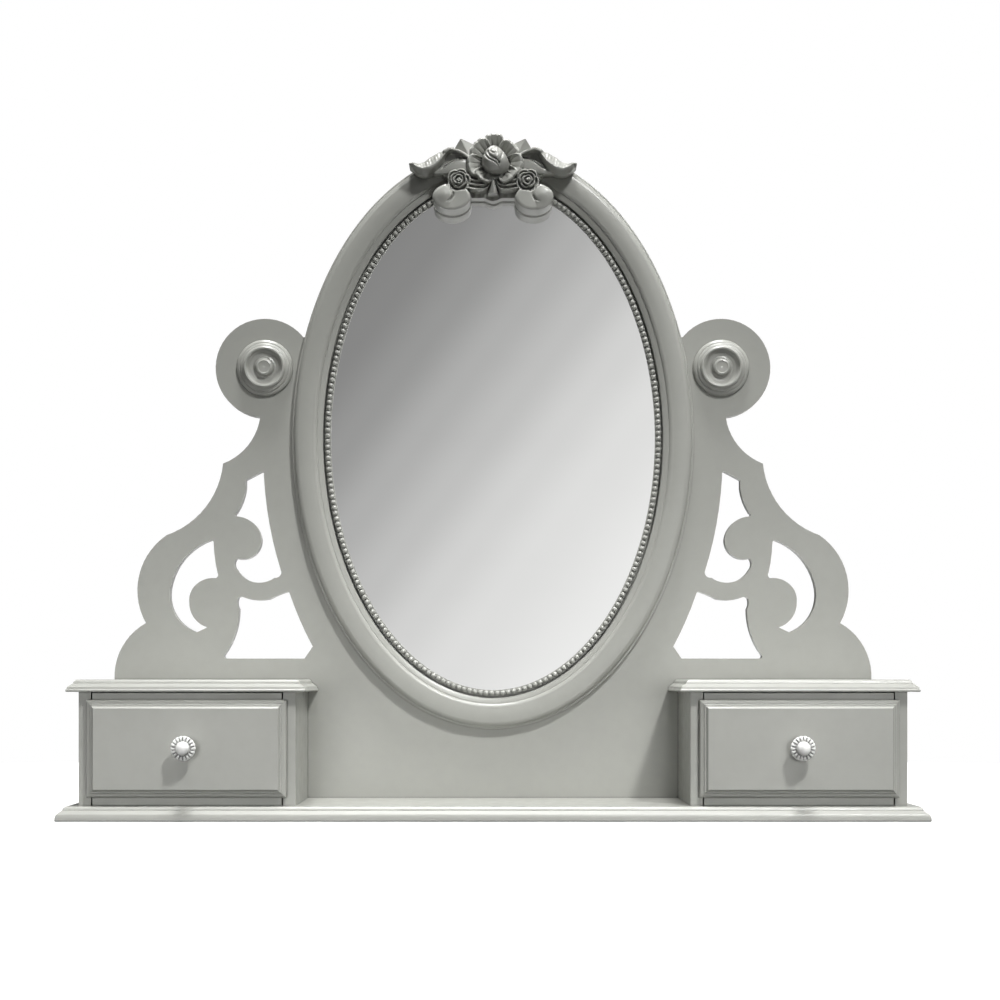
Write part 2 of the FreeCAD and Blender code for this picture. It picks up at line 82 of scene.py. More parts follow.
def add(tree, kind, values=None, **settings):
    """Adds a node. values maps an input's name or number to a value or an output socket."""
    node = tree.nodes.new(kind)
    for key, value in settings.items():
        setattr(node, key, value)
    for key, value in (values or {}).items():
        if isinstance(value, bpy.types.NodeSocket):
            tree.links.new(value, node.inputs[key])
        else:
            node.inputs[key].default_value = value
    return node


def maths(tree, operation, first, second=0.0):
    """One sum on a value, or on two."""
    values = {0: first, 1: second}
    return add(tree, "ShaderNodeMath", values, operation=operation).outputs[0]


def mapped(tree, value, low, high, to_low, to_high):
    """value taken from low..high to to_low..to_high, clamped."""
    span = {"From Min": low, "From Max": high, "To Min": to_low, "To Max": to_high}
    return add(tree, "ShaderNodeMapRange", {"Value": value, **span}).outputs["Result"]


def mixed(tree, factor, first, second):
    """Two colours mixed by factor. The node's colours are its inputs 6 and 7 and its output 2."""
    values = {0: factor, 6: first, 7: second}
    return add(tree, "ShaderNodeMix", values, data_type="RGBA").outputs[2]


def noise(tree, coordinates, scale, detail=2.0, roughness=0.5):
    """A cloudy pattern around 0.5, with about scale patches to each unit of length."""
    values = {"Vector": coordinates, "Scale": scale, "Detail": detail, "Roughness": roughness}
    return add(tree, "ShaderNodeTexNoise", values).outputs["Fac"]


def own_place(tree):
    """The object's own coordinates."""
    return add(tree, "ShaderNodeTexCoord").outputs["Object"]


def stretched(tree, coordinates, scale):
    """The coordinates scaled by a different amount along each axis."""
    values = {"Vector": coordinates, "Scale": scale}
    return add(tree, "ShaderNodeMapping", values).outputs["Vector"]


def tinted(tree, base, pattern, low, high, amount, colour):
    """base turned towards colour, by up to amount, as pattern goes from low to high."""
    return mixed(tree, mapped(tree, pattern, low, high, 0.0, amount), base, colour)


def edge_mask(tree, radius, full):
    """1 along convex edges and tight corners, where the normals agree by full or less."""
    bevel = add(tree, "ShaderNodeBevel", {"Radius": radius}, samples=4).outputs[0]
    normal = add(tree, "ShaderNodeNewGeometry").outputs["Normal"]
    dot = add(tree, "ShaderNodeVectorMath", {0: bevel, 1: normal}, operation="DOT_PRODUCT")
    return mapped(tree, dot.outputs["Value"], EDGE_FLAT, full, 0.0, 1.0)


def worn_edges(tree, base, radius, full, amount, colour):
    """base turned towards colour by amount along its edges."""
    wear = maths(tree, "MULTIPLY", edge_mask(tree, radius, full), amount)
    return mixed(tree, wear, base, colour)


def painted_crevice_shade(tree, base, reach, samples, clear, amount, colour):
    """Painted shade: base turned towards colour, by up to amount, where little open air is within
    reach.
    """
    settings = {"Distance": reach}
    air = add(tree, "ShaderNodeAmbientOcclusion", settings, samples=samples).outputs["AO"]
    return mixed(tree, mapped(tree, air, CREVICE, clear, amount, 0.0), base, colour)


def new_material(name, metallic=0.0):
    """An empty surface: the material, its node tree and its shader."""
    material = bpy.data.materials.new(name)
    material.use_nodes = True
    tree = material.node_tree
    tree.nodes.clear()
    shader = add(tree, "ShaderNodeBsdfPrincipled", {"Metallic": metallic})
    add(tree, "ShaderNodeOutputMaterial", {"Surface": shader.outputs[0]})
    return material, tree, shader


def surface(tree, shader, colour, roughness, height=None, strength=0.0, distance=0.0):
    """Plugs in the colour and roughness, and a fine bump where there is a height."""
    tree.links.new(colour, shader.inputs["Base Color"])
    tree.links.new(roughness, shader.inputs["Roughness"])
    if height:
        values = {"Height": height, "Strength": strength, "Distance": distance}
        bump = add(tree, "ShaderNodeBump", values)
        tree.links.new(bump.outputs[0], shader.inputs["Normal"])


def grey(level, warmth=0.0):
    """A near-neutral colour; warmth takes a little blue away."""
    return (level, level * (1 + 0.12 * warmth), level * (1 - warmth), 1.0)


# ---------------------------------------------------------------- materials
def paint(name, colour, dark, deep, worn, rough):
    """Satin paint on wood: faint brushing and cloudiness, painted shade in its creases and
    hollows, and rubbed edges.
    """
    material, tree, shader = new_material(name)
    place = own_place(tree)
    cloud = noise(tree, place, scale=7.0, detail=3.0)
    mottle = noise(tree, place, scale=90.0, detail=4.0)
    peel = noise(tree, place, scale=1100.0)
    brush = noise(tree, stretched(tree, place, (9.0, 9.0, 520.0)), scale=1.0, detail=3.0)

    base = tinted(tree, colour, cloud, 0.3, 0.7, amount=0.16, colour=dark)
    base = tinted(tree, base, mottle, 0.4, 0.7, amount=0.06, colour=dark)
    # painted shade: the colour turns towards the deep shade colour where little open air is near
    base = painted_crevice_shade(tree, base, reach=0.0035, samples=8, clear=0.8, amount=0.85, colour=deep)
    rubbed = mapped(tree, mottle, 0.35, 0.65, 0.55, 0.7)
    wear = maths(tree, "MULTIPLY", edge_mask(tree, radius=0.0008, full=0.80), rubbed)
    base = mixed(tree, wear, base, worn)

    satin = mapped(tree, mottle, 0.3, 0.7, rough - 0.05, rough + 0.05)
    roughness = maths(tree, "ADD", satin, maths(tree, "MULTIPLY", wear, 0.12))
    half_peel, half_brush = [maths(tree, "MULTIPLY", part, 0.5) for part in (peel, brush)]
    height = maths(tree, "ADD", half_peel, half_brush)
    surface(tree, shader, base, roughness, height, strength=0.07, distance=0.0002)
    return material


def wood(name, light, dark, worn, grain_axis):
    """Plain sanded wood with long grain along one axis (0, 1 or 2)."""
    material, tree, shader = new_material(name)
    place = own_place(tree)
    squash = [60.0, 60.0, 60.0]
    squash[grain_axis] = 2.5
    fine_squash = [12 * s for s in squash]
    grain = noise(tree, stretched(tree, place, squash), scale=1.4, detail=5.0, roughness=0.6)
    pores = noise(tree, stretched(tree, place, fine_squash), scale=1.0, detail=3.0)
    base = tinted(tree, light, grain, 0.35, 0.68, amount=1.0, colour=dark)
    base = tinted(tree, base, pores, 0.55, 0.75, amount=0.35, colour=dark)
    base = worn_edges(tree, base, radius=0.0008, full=0.80, amount=0.4, colour=worn)
    roughness = mapped(tree, grain, 0.3, 0.7, 0.55, 0.7)
    surface(tree, shader, base, roughness, pores, strength=0.25, distance=0.0003)
    return material


def fibreboard(name, light, dark):
    """Smooth brown board with a fine flecked surface."""
    material, tree, shader = new_material(name)
    place = own_place(tree)
    fleck = noise(tree, place, scale=700.0, detail=4.0, roughness=0.7)
    cloud = noise(tree, place, scale=12.0)
    base = tinted(tree, light, fleck, 0.35, 0.65, amount=1.0, colour=dark)
    base = tinted(tree, base, cloud, 0.3, 0.7, amount=0.3, colour=dark)
    base = worn_edges(tree, base, radius=0.0006, full=0.80, amount=0.35, colour=light)
    roughness = mapped(tree, fleck, 0.3, 0.7, 0.6, 0.75)
    surface(tree, shader, base, roughness, fleck, strength=0.3, distance=0.0002)
    return material


def silvered_glass(name, light, dark):
    """A mirror: a clean metal surface with the faintest smears."""
    material, tree, shader = new_material(name, metallic=1.0)
    smear = noise(tree, stretched(tree, own_place(tree), (6.0, 6.0, 14.0)), 1.0, detail=4.0)
    base = tinted(tree, light, smear, 0.3, 0.7, amount=1.0, colour=dark)
    surface(tree, shader, base, mapped(tree, smear, 0.4, 0.75, 0.008, 0.02))
    return material


def glaze(name, colour, dark):
    """White glazed ceramic: glossy, slightly uneven, with painted shade in the slots, and darker
    along the edges.
    """
    material, tree, shader = new_material(name)
    cloud = noise(tree, own_place(tree), scale=180.0, detail=3.0)
    base = tinted(tree, colour, cloud, 0.3, 0.7, amount=0.2, colour=dark)
    # painted shade: the slots between the ribs turn dark where little open air is near
    base = painted_crevice_shade(tree, base, reach=0.003, samples=6, clear=0.9, amount=0.75, colour=dark)
    base = worn_edges(tree, base, radius=0.0005, full=0.75, amount=0.2, colour=dark)
    roughness = mapped(tree, cloud, 0.3, 0.7, 0.16, 0.26)
    surface(tree, shader, base, roughness, cloud, strength=0.1, distance=0.0003)
    return material


def zinc(name, light, dark, worn):
    """Zinc-plated steel, lightly scratched and rubbed on the edges."""
    material, tree, shader = new_material(name, metallic=1.0)
    streaks = stretched(tree, own_place(tree), (900.0, 900.0, 90.0))
    scratch = noise(tree, streaks, scale=1.0, detail=3.0)
    base = tinted(tree, light, scratch, 0.3, 0.7, amount=1.0, colour=dark)
    base = worn_edges(tree, base, radius=0.0003, full=0.75, amount=0.5, colour=worn)
    roughness = mapped(tree, scratch, 0.3, 0.7, 0.25, 0.42)
    surface(tree, shader, base, roughness, scratch, strength=0.15, distance=0.0001)
    return material


SAGE = (0.335, 0.338, 0.312, 1.0)
SAGE_DARK = (0.205, 0.21, 0.19, 1.0)
# the next colour is painted shade, for the paint's creases and hollows
SAGE_PAINTED_SHADE = (0.085, 0.088, 0.078, 1.0)
SAGE_WORN = (0.50, 0.50, 0.47, 1.0)
SAGE_ROUGHNESS = 0.33
PALE_WOOD = (0.60, 0.47, 0.31, 1.0)
PALE_WOOD_DARK = (0.44, 0.31, 0.18, 1.0)
BOARD_LIGHT = (0.42, 0.30, 0.19, 1.0)
BOARD_DARK = (0.27, 0.18, 0.11, 1.0)

MATERIALS = {
    "sage_paint": paint("sage_paint", SAGE, SAGE_DARK, SAGE_PAINTED_SHADE, SAGE_WORN, SAGE_ROUGHNESS),
    "mirror_glass": silvered_glass("mirror_glass", grey(0.94), grey(0.925)),
    "board": fibreboard("board", BOARD_LIGHT, BOARD_DARK),
    "bare_wood": wood("bare_wood", PALE_WOOD, PALE_WOOD_DARK, grey(0.7, 0.3), grain_axis=1),
    "knob_white": glaze("knob_white", grey(0.84, 0.02), grey(0.14, 0.05)),
    "screw_steel": zinc("screw_steel", grey(0.62), grey(0.45, 0.06), grey(0.75)),
}


# ---------------------------------------------------------------- mesh helpers
def piece(name, verts, faces, body, slot, replaced, sharp=35.0):
    """A new smooth-shaded piece that rides on a body, takes a slot and stands for a node."""
    mesh = bpy.data.meshes.new(name)
    mesh.from_pydata([tuple(v) for v in verts], [], [tuple(f) for f in faces])
    mesh.validate()
    mesh.update()
    mesh.polygons.foreach_set("use_smooth", [True] * len(mesh.polygons))
    mesh.set_sharp_from_angle(angle=math.radians(sharp))
    mesh.materials.append(MATERIALS[slot])
    shape = bpy.data.objects.new(name, mesh)
    bpy.context.scene.collection.objects.link(shape)
    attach(shape, body)
    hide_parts(replaced)
    return shape


def wrapped_grid(rows, columns, close_rows=False, start=0):
    """Quads of a grid whose columns close on themselves, and its rows too if close_rows."""
    faces = []
    for row in range(rows if close_rows else rows - 1):
        below = (row + 1) % rows
        for column in range(columns):
            beside = (column + 1) % columns
            corners = (row, column), (row, beside), (below, beside), (below, column)
            faces.append([start + r * columns + c for r, c in corners])
    return faces


def smooth_step(value, low, high):
    """0 below low, 1 above high, and a soft S between them."""
    t = np.clip((value - low) / (high - low), 0, 1)
    return t * t * (3 - 2 * t)


class Oval:
    """The mirror frame's outer ellipse, seen from -Y; inset is a true distance inwards."""

    def __init__(self):
        low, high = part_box("mirror_frame")
        self.half_width = (high[0] - low[0]) / 2
        self.half_height = (high[2] - low[2]) / 2
        self.middle = (high[2] + low[2]) / 2

    def at(self, inset, angle):
        """The point (x, z) at an angle round the middle."""
        cos, sin = math.cos(angle), math.sin(angle)
        away = Vector((self.half_height * cos, self.half_width * sin)).normalized()
        x = self.half_width * cos - inset * away.x
        return x, self.middle + self.half_height * sin - inset * away.y

    def spaced(self, inset, pitch, samples=4000):
        """Points at equal spacing, as near to pitch as fits, along the inset oval."""
        ring = [self.at(inset, math.tau * k / samples) for k in range(samples + 1)]
        along = [0.0]
        for a, b in zip(ring, ring[1:]):
            along.append(along[-1] + math.dist(a, b))
        count = round(along[-1] / pitch)
        wanted = [along[-1] * k / count for k in range(count)]
        xs = np.interp(wanted, along, [p[0] for p in ring])
        zs = np.interp(wanted, along, [p[1] for p in ring])
        return list(zip(xs, zs))


OVAL = Oval()


# ---------------------------------------------------------------- beading
BEAD_PITCH = 6.15 * MM
BEAD_R = 2.95 * MM
BEAD_INSET = 2.6 * MM       # bead centres, in from the strip's outer edge
BEAD_RINGS = 10
BEAD_TURNS = 16
POLE_GAP = 0.001            # keeps a bead's end rings just open, in ring spacings
STRIP_LIFT = 1.6 * MM
STRIP_WIDTH = 6.3 * MM
STRIP_STEPS = 360


def bead():
    """The points of one bead about its own middle, ring by ring from its front pole."""
    points = []
    for ring in range(BEAD_RINGS + 1):
        tilt = math.pi * (ring + POLE_GAP) / (BEAD_RINGS + 2 * POLE_GAP)
        for turn in range(BEAD_TURNS):
            spin = math.tau * turn / BEAD_TURNS
            x, z = math.sin(tilt) * math.cos(spin), math.sin(tilt) * math.sin(spin)
            points.append(BEAD_R * Vector((x, -math.cos(tilt), z)))
    return points


def beading():
    """A row of round beads on a flat strip, all round the edge of the glass."""
    low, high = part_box("bead_moulding")
    outer = OVAL.half_width - (high[0] - low[0]) / 2
    verts = []
    section = [(0.0, 0.0), (0.0, STRIP_LIFT), (STRIP_WIDTH, STRIP_LIFT), (STRIP_WIDTH, 0.0)]
    for inset, height in section:
        for k in range(STRIP_STEPS):
            x, z = OVAL.at(outer + inset, math.tau * k / STRIP_STEPS)
            verts.append((x, high[1] - height, z))
    faces = wrapped_grid(len(section), STRIP_STEPS, close_rows=True)

    points = bead()
    for x, z in OVAL.spaced(outer + BEAD_INSET, BEAD_PITCH):
        start = len(verts)
        middle = Vector((x, low[1] + BEAD_R, z))
        verts += [middle + point for point in points]
        faces += wrapped_grid(BEAD_RINGS + 1, BEAD_TURNS, start=start)
        faces.append([start + turn for turn in range(BEAD_TURNS)][::-1])
        faces.append([start + BEAD_RINGS * BEAD_TURNS + turn for turn in range(BEAD_TURNS)])
    return piece("beading", verts, faces, "stand", "sage_paint", "bead_moulding")


# ---------------------------------------------------------------- knobs
KNOB_RIBS = 18
STEPS_PER_RIB = 14
SLOT_EDGES = (0.72, 0.97)   # where a slot's wall starts and its floor begins, 1 being its middle
KNOB_SHARP = 60.0           # degrees between faces that shade as an edge

# (radius, height above the drawer front, slot depth there, scallop of the rim), in millimetres
KNOB_PROFILE = [
    (7.5, 0.0, 0.0, 0.0), (7.5, 1.1, 0.0, 0.0), (6.2, 2.4, 0.0, 0.0), (5.5, 5.0, 0.0, 0.0),
    (5.7, 7.6, 0.0, 0.0), (7.4, 9.6, 0.0, 0.0), (10.2, 11.2, 0.0, 0.1), (12.1, 12.5, 0.0, 0.2),
    (12.9, 14.0, 0.0, 0.35), (13.0, 15.2, 0.0, 0.35), (12.8, 16.3, 0.1, 0.35),
    (12.2, 17.3, 0.7, 0.25), (11.4, 18.0, 2.2, 0.1), (10.4, 18.4, 2.8, 0.0),
    (9.4, 18.5, 3.0, 0.0), (8.6, 18.3, 2.6, 0.0), (8.0, 17.8, 1.4, 0.0), (7.6, 17.4, 0.4, 0.0),
    (7.3, 17.6, 0.0, 0.0), (7.2, 18.9, 0.0, 0.0), (7.2, 20.6, 0.0, 0.0), (6.9, 22.3, 0.0, 0.0),
    (6.2, 24.0, 0.0, 0.0), (5.2, 25.2, 0.0, 0.0), (4.0, 26.0, 0.0, 0.0), (2.8, 26.5, 0.0, 0.0),
    (1.6, 26.8, 0.0, 0.0), (0.1, 27.0, 0.0, 0.0),
]


def knob(side):
    """A white knob: a rim of ribs with narrow slots between them, round a smooth button."""
    low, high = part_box(side + "_knob")
    middle_x = (low[0] + high[0]) / 2
    middle_z = (low[2] + high[2]) / 2
    steps = KNOB_RIBS * STEPS_PER_RIB
    verts = []
    for radius, height, slot, scallop in KNOB_PROFILE:
        for k in range(steps):
            turn = math.tau * k / steps
            between = abs(math.sin(KNOB_RIBS * turn / 2))
            r = (radius - scallop * between**3) * MM
            y = high[1] - (height - slot * smooth_step(between, *SLOT_EDGES)) * MM
            verts.append((middle_x + r * math.cos(turn), y, middle_z + r * math.sin(turn)))
    faces = wrapped_grid(len(KNOB_PROFILE), steps)
    faces.append(range(steps))
    faces.append([(len(KNOB_PROFILE) - 1) * steps + k for k in range(steps)][::-1])
    name, body = side + "_ribbed_knob", side + "_drawer"
    return piece(name, verts, faces, body, "knob_white", side + "_knob", KNOB_SHARP)


# ---------------------------------------------------------------- carved crest
# The crest's own millimetres: x from its middle (outwards on both sides, in the lists that serve
# both), z upwards from its lowest point, and heights forward from its back.
CREST_PITCH = 0.4
CREST_SHARP = 50.0          # degrees between faces that shade as an edge
LEAST_THICKNESS = 2.0       # what a carved line always leaves
RIM_SMOOTHING = 20          # rounds that even out the outline's steps
SOFTENING = 2               # rounds that blur the carved surface

BUD = (2.4, 55.2)
BUD_HALF_WIDTH = 14.2
BUD_HALF_HEIGHT = 15.4
BUD_BASE = 26.0
BUD_RISE = 16.5
BUD_TAPER = 0.013           # share of its width lost per millimetre upwards
BUD_LEAN = 0.12

PETAL_SCALLOP = 0.025       # share of the reach that the rim's notches cut away
PETAL_GAP = 2.0             # depth of the hollows between its ridges
PETAL_CURL = 2.4            # how far the rim turns over, and over what width
PETAL_DROOP = 2.0           # how far its two sides sink
# direction and half spread in degrees, reach, height at the bud and at the rim, ridges
PETALS = [
    (93, 29, 31.6, 8.0, 21.0, 4), (139, 36, 30.6, 11.0, 24.0, 5), (43, 36, 28.2, 11.0, 24.0, 5),
    (192, 34, 31.0, 13.0, 28.0, 5), (351, 34, 30.4, 13.0, 28.0, 5),
    (270, 34, 20.4, 15.0, 28.0, 4), (232, 34, 27.4, 15.5, 29.5, 5),
    (311, 35, 28.0, 15.5, 29.5, 5),
]

# depth, width, step, reach of the step, points: two S-shaped laps, one down the bud's right, and
# a curl in two parts on its top
BUD_LINES = [
    (1.6, 0.7, 1.8, 3.2,
     [(6.4, 45.8), (3.0, 48.9), (-2.0, 52.0), (-6.6, 55.4), (-9.2, 60.0), (-9.8, 64.0)]),
    (2.2, 0.9, 1.6, 3.0,
     [(7.4, 48.2), (5.0, 51.2), (1.6, 53.4), (-3.0, 56.4), (-5.4, 60.0), (-5.6, 63.6)]),
    (1.5, 0.7, 1.4, 3.0, [(9.4, 67.0), (10.8, 62.4), (9.8, 57.4), (7.8, 52.6), (6.4, 48.0)]),
    (1.8, 0.7, 0.0, 3.0,
     [(6.6, 60.0), (6.2, 65.6), (2.2, 67.8), (-2.2, 66.2), (-3.0, 62.0), (0.4, 59.6),
      (3.0, 61.4)]),
    (1.2, 0.6, 0.0, 3.0, [(-0.6, 64.2), (1.2, 65.4), (2.8, 63.6), (1.2, 62.0)]),
]

ROSE = (37.4, 33.8)
# outer radius, petals and height of each ring
ROSE_RINGS = [(13.2, 5, 26.0), (9.6, 4, 28.5), (6.0, 3, 30.5), (2.6, 2, 31.5)]
ROSE_DRIFT = 0.25           # how far each ring sits off the last one's middle
ROSE_TWIST = 0.9            # radians from ring to ring
ROSE_WAVE = 0.18            # share of a ring's radius that its notches cut away
ROSE_UNEVEN = 0.25          # how much wider some petals are than others
ROSE_CURL = 1.8
ROSE_PIT = 4.6              # depth of the gap inside a ring
ROSE_DIP = 1.6              # how far the petals sink between their middles

SPIKE_APEX = (35.4, 80.4)
SPIKE_FOOT = (26.4, 62.0)
SPIKE_OUTER = 41.8
SPIKE_HIDDEN = (20, 60)     # the flower covers it below and inside this corner
SPIKE_HEIGHT = 20.0
SPIKE_FACETS = (0.62, 0.38)  # how steeply the inner and the outer facet fall from the ridge

# the acanthus leaf: its upper outline, the line where its blade rolls under, and ribbons given
# as (x, z, half width, height)
LEAF_TOP = [(27.0, 60.0), (31.0, 63.8), (35.6, 66.6), (41.6, 68.6), (46.9, 69.2), (52.1, 68.0),
            (57.4, 65.2), (64.0, 62.2), (69.3, 58.8), (74.6, 54.9), (81.2, 52.6), (86.5, 53.8),
            (91.2, 53.0)]
LEAF_ROLL = [(49.0, 67.0), (54.1, 60.2), (60.1, 53.6), (68.0, 48.4), (75.9, 46.6), (82.5, 48.4),
             (87.4, 52.4)]
LEAF_VEIN = [(31.0, 57.6), (38.0, 57.6), (45.0, 54.6), (51.0, 50.2), (57.0, 46.6)]
LEAF_LIP = [(26.0, 58.6, 1.6, 21.0), (31.0, 62.4, 1.7, 23.0), (35.6, 64.9, 1.8, 24.5),
            (41.6, 66.9, 1.9, 26.0), (46.9, 67.4, 2.2, 27.0), (52.0, 65.0, 2.4, 27.0)]
LEAF_TIP = [(84.0, 49.4, 2.6, 26.0), (87.6, 50.6, 2.6, 25.0), (90.4, 52.4, 1.6, 22.0)]
LOWER_LEAF = [(22.0, 47.0, 8.0, 19.0), (36.0, 51.0, 8.2, 21.5), (46.0, 48.6, 7.0, 22.0),
              (55.0, 45.4, 4.6, 21.0), (61.0, 43.8, 2.4, 19.5), (66.0, 43.0, 0.8, 18.0)]
UNDER_LEAF = [(28.0, 41.0, 6.0, 17.0), (42.0, 42.0, 5.0, 18.0), (53.0, 40.0, 1.6, 17.0)]
LEAF_TURN = 49.0            # x where the blade turns over to the light
HOLLOW_X = (24, 56)
HOLLOW_FOOT = 44
HOLLOW_HEIGHT = 13.0        # at its inner end
HOLLOW_SLOPE = 0.12
BLADE_END = 87.4
BLADE_HEIGHT = 20.5         # along its upper edge
BLADE_RISE = 6.5            # from there to the line where it rolls under
RIPPLES_END = 82
EDGE_RIPPLE = 0.35
BLADE_RIPPLE = 2.0
ROLL_END = 91.4
ROLL_HEIGHT = 27.0
ROLL_FALL = 9.0
ROLL_AT = [49.0, 54.0, 62.0, 70.0, 78.0, 86.0, 91.5]
ROLL_THICKNESS = [1.0, 5.6, 7.6, 7.2, 6.6, 6.6, 3.0]

VEIN_DEPTH = 2.4
VEIN_WIDTH = 0.9

SCROLL = (45.0, 14.5)
SCROLL_HALF_WIDTH = 20.9
SCROLL_HALF_HEIGHT = 14.45
SCROLL_BASE = 28.5
SCROLL_ROUND = 2.2          # how much the scroll rises over its edge, and again at its eye
SCROLL_EDGE = 0.21875       # share of its half size over which the edge is rounded
SCROLL_EYE = (53.5, 16.5)
EYE_SIZE = (9.0, 8.0)
SPIRAL_HOLLOW = 1.5         # how far the ground inside the spiral line sinks
SPIRAL_FADE = 5.0
SPIRAL = [(49.6, 27.0), (45.0, 22.6), (43.4, 16.6), (46.6, 11.4), (52.0, 9.0)]

APRON_BASE = 15.0
APRON_HALF_WIDTH = 34
APRON_RIPPLE = 0.4
SWAG = [(0.0, 34.5), (3.2, 28.6), (6.2, 24.2), (11.2, 22.4), (17.7, 22.6), (24.3, 23.6),
        (31.0, 25.0)]
SWAG_HEIGHT = 24.0
SWAG_FOLD = 2.4             # height of its folds
FOLD_PITCH = 5.0
SWAG_CURL = 2.0
DROP_LEAF_HEIGHT = 29.5     # the small leaf in the middle: height, half width and upper end
DROP_LEAF_WIDTH = 5.2
DROP_LEAF_TOP = 35.2


class Relief:
    """A carving worked out as heights over a fine grid.

    A feature only ever raises the surface, so later ones grow out of it; cut and the small
    roses are the exceptions.
    """

    def __init__(self, half_width, height, pitch):
        columns = int(round(2 * half_width / pitch)) + 1
        rows = int(round(height / pitch)) + 1
        across = np.linspace(-half_width, half_width, columns)
        self.x, self.z = np.meshgrid(across, np.linspace(0, height, rows))
        self.out = np.abs(self.x)
        self.high = np.zeros_like(self.x)

    def lift(self, inside, height):
        """Raises the surface to height where inside is true."""
        self.high = np.where(inside, np.maximum(self.high, height), self.high)

    def cut(self, depth):
        """Carves depth away, but never through to the back."""
        left = np.maximum(self.high - depth, LEAST_THICKNESS)
        self.high = np.where(self.high > 0, left, 0.0)


def curve(points, samples=64):
    """A smooth line through points (x, z, ...); any further numbers are carried along."""
    p = np.array([points[0], *points, points[-1]], dtype=float)
    spans = len(points) - 1
    t = np.linspace(0, spans - 1e-6, samples)
    k = t.astype(int)
    f = (t - k)[:, None]
    a, b, c, d = p[k], p[k + 1], p[k + 2], p[k + 3]
    square = (2 * a - 5 * b + 4 * c - d) * f**2
    cube = (3 * b - a - 3 * c + d) * f**3
    return 0.5 * (2 * b + (c - a) * f + square + cube)


def track(x, z, line):
    """For each grid point: distance to the line, side (left is positive) and how far along."""
    best = np.full(x.shape, 1e9)
    side = np.zeros(x.shape)
    along = np.zeros(x.shape)
    spans = len(line) - 1
    for k in range(spans):
        ax, az = line[k][:2]
        dx, dz = line[k + 1][0] - ax, line[k + 1][1] - az
        length = math.hypot(dx, dz) + 1e-9
        t = np.clip(((x - ax) * dx + (z - az) * dz) / length**2, 0, 1)
        ox, oz = x - ax - t * dx, z - az - t * dz
        distance = np.hypot(ox, oz)
        nearer = distance < best
        best = np.where(nearer, distance, best)
        side = np.where(nearer, np.sign(dx * oz - dz * ox), side)
        along = np.where(nearer, (k + t) / spans, along)
    return best, side, along


def furrow(distance, depth, width):
    """The depth of a carved line at a distance from its middle."""
    return depth * np.exp(-((distance / width) ** 2))


def turned_edge(inwards, drop, width):
    """How far a rim curls down, over width from its edge."""
    return drop * (1 - smooth_step(inwards, 0.0, width))


def band(relief, points, round_by):
    """A rounded ribbon along points (x, z, half width, height)."""
    line = curve(points)
    distance, _, along = track(relief.out, relief.z, line)
    spread = np.linspace(0, 1, len(line))
    width = np.interp(along, spread, line[:, 2])
    height = np.interp(along, spread, line[:, 3])
    share = np.clip(distance / width, 0, 1)
    relief.lift(distance < width, height - round_by * (1 - np.sqrt(1 - share**2)))


def petal(relief, direction, spread, reach, inner, rim, ridges):
    """A broad cupped petal: soft ridges run out from the bud to a scalloped, curled rim."""
    dx, dz = relief.x - BUD[0], relief.z - BUD[1]
    off = (np.arctan2(dz, dx) - math.radians(direction) + math.pi) % math.tau - math.pi
    share = off / math.radians(spread)
    inside = np.abs(share) < 1
    share = np.clip(share, -1, 1)
    between = 1 - np.abs(np.cos(ridges * math.pi * share / 2))
    scalloped = 1 - PETAL_SCALLOP * between**2
    edge = reach * scalloped * (1 - np.abs(share) ** 5) ** 0.4
    radius = np.hypot(dx, dz)
    out = np.clip(radius / np.maximum(edge, 0.1), 0, 1)
    cup = inner + (rim - inner) * smooth_step(out, 0.25, 1.1)
    shallower = 1 - 0.75 * smooth_step(out, 0.7, 0.95)
    gaps = PETAL_GAP * between**2 * smooth_step(out, 0.3, 0.55) * shallower
    curl = turned_edge(edge - radius, PETAL_CURL, PETAL_CURL)
    droop = PETAL_DROOP * np.abs(share) ** 5
    relief.lift(inside & (radius < edge), cup - gaps - curl - droop)


def groove(relief, depth, width, step, reach, points):
    """A carved line; step also sinks the ground to its right, fading over reach."""
    distance, side, along = track(relief.x, relief.z, curve(points))
    fade = smooth_step(along, 0.0, 0.12) * (1 - smooth_step(along, 0.9, 1.0))
    cut = furrow(distance, depth, width)
    cut = cut + step * (side < 0) * np.clip(1 - distance / reach, 0, 1) ** 1.5
    relief.cut(cut * fade)


def flower(relief):
    """The open rose: its petals, back ones first, and the bud in the middle."""
    for shape in PETALS:
        petal(relief, *shape)
    rise = relief.z - BUD[1]
    width = BUD_HALF_WIDTH * (1 - BUD_TAPER * rise)
    share = np.hypot((relief.x - BUD[0] + BUD_LEAN * rise) / width, rise / BUD_HALF_HEIGHT)
    relief.lift(share < 1, BUD_BASE + BUD_RISE * np.sqrt(np.clip(1 - share**2, 0, 1)))
    for line in BUD_LINES:
        groove(relief, *line)


def small_rose(relief, side):
    """A small open rose: rings of wavy petals, each standing out of a deep gap, and a button."""
    button = len(ROSE_RINGS) - 1
    for k, (outer, petals, top) in enumerate(ROSE_RINGS):
        spin = ROSE_TWIST * k + 0.3 * side
        dx = relief.x - side * ROSE[0] - ROSE_DRIFT * k * math.cos(2 * spin)
        dz = relief.z - ROSE[1] - ROSE_DRIFT * k * math.sin(2 * spin)
        turn = np.arctan2(dz, dx)
        turn = turn + ROSE_UNEVEN * np.sin(turn + spin)
        wave = np.abs(np.cos(petals * turn / 2 + spin))
        edge = outer * (1 - ROSE_WAVE + ROSE_WAVE * wave**0.5)
        inwards = edge - np.hypot(dx, dz)
        pit = ROSE_PIT * smooth_step(inwards, 1.2, 3.2) if k < button else 0.0
        curl = turned_edge(inwards, ROSE_CURL, ROSE_CURL / 2)
        high = top - curl - pit - ROSE_DIP * (1 - wave) ** 2
        relief.high = np.where(inwards > 0, high, relief.high)


